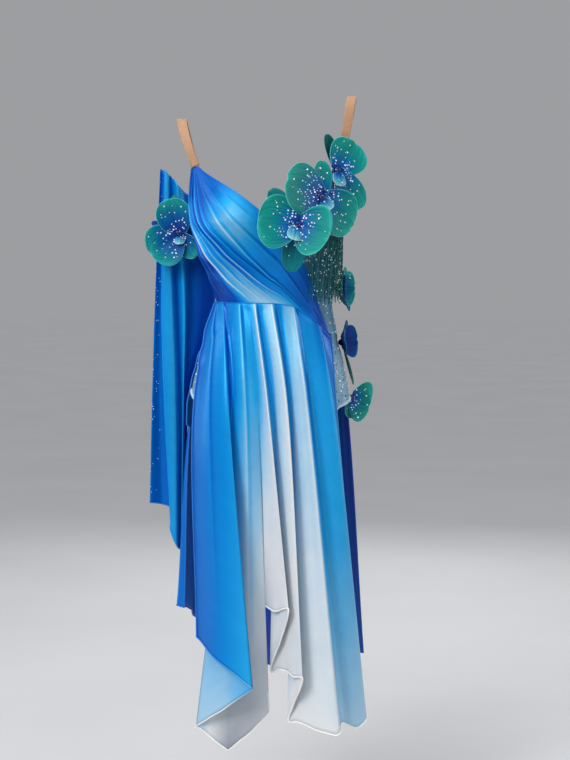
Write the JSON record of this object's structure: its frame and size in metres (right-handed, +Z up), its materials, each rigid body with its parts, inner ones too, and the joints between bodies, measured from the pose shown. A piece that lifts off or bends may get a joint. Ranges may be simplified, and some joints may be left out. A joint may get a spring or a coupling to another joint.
{
  "type": "latin dance dress",
  "caption": "Latin dance dress as worn: wrap satin bodice and handkerchief skirt over a mesh bodysuit, with one trailing sleeve drape, bead fringe and cloth orchids.",
  "frame": {"origin": "midway between the undersides of the two shoulder strap tops, where the wearer's shoulders carry the dress", "axes": "+Z up along the wearer's height, -Y to the front of the dress, +X to the right in the front view (the wearer's left)"},
  "size_m": [0.4332, 0.3722, 1.2332],
  "materials": {
    "ombre_satin": "satin, royal blue at the top and sides fading to white at the low hem",
    "glitter_mesh": "pale blue stretch mesh with glitter and stones",
    "strap_elastic": "matt skin-tone elastic",
    "petal_cloth": "starched petal cloth, royal blue hearts to turquoise rims",
    "glass_beads": "small faceted bugle beads"
  },
  "bodies": {
    "root": {"bodysuit_front": "glitter_mesh", "bodysuit_back": "glitter_mesh", "strap_left": "strap_elastic", "strap_right": "strap_elastic", "bodice_wrap": "ombre_satin", "skirt_front": "ombre_satin", "skirt_back": "ombre_satin", "sleeve_drape": "ombre_satin", "bead_fringe": "glass_beads", "orchid_bust_left": "petal_cloth", "orchid_bust_right": "petal_cloth", "orchid_strap": "petal_cloth", "orchid_sleeve": "petal_cloth", "orchid_hip_upper": "petal_cloth", "orchid_hip_middle": "petal_cloth", "orchid_hip_lower": "petal_cloth"}
  },
  "joints": []
}
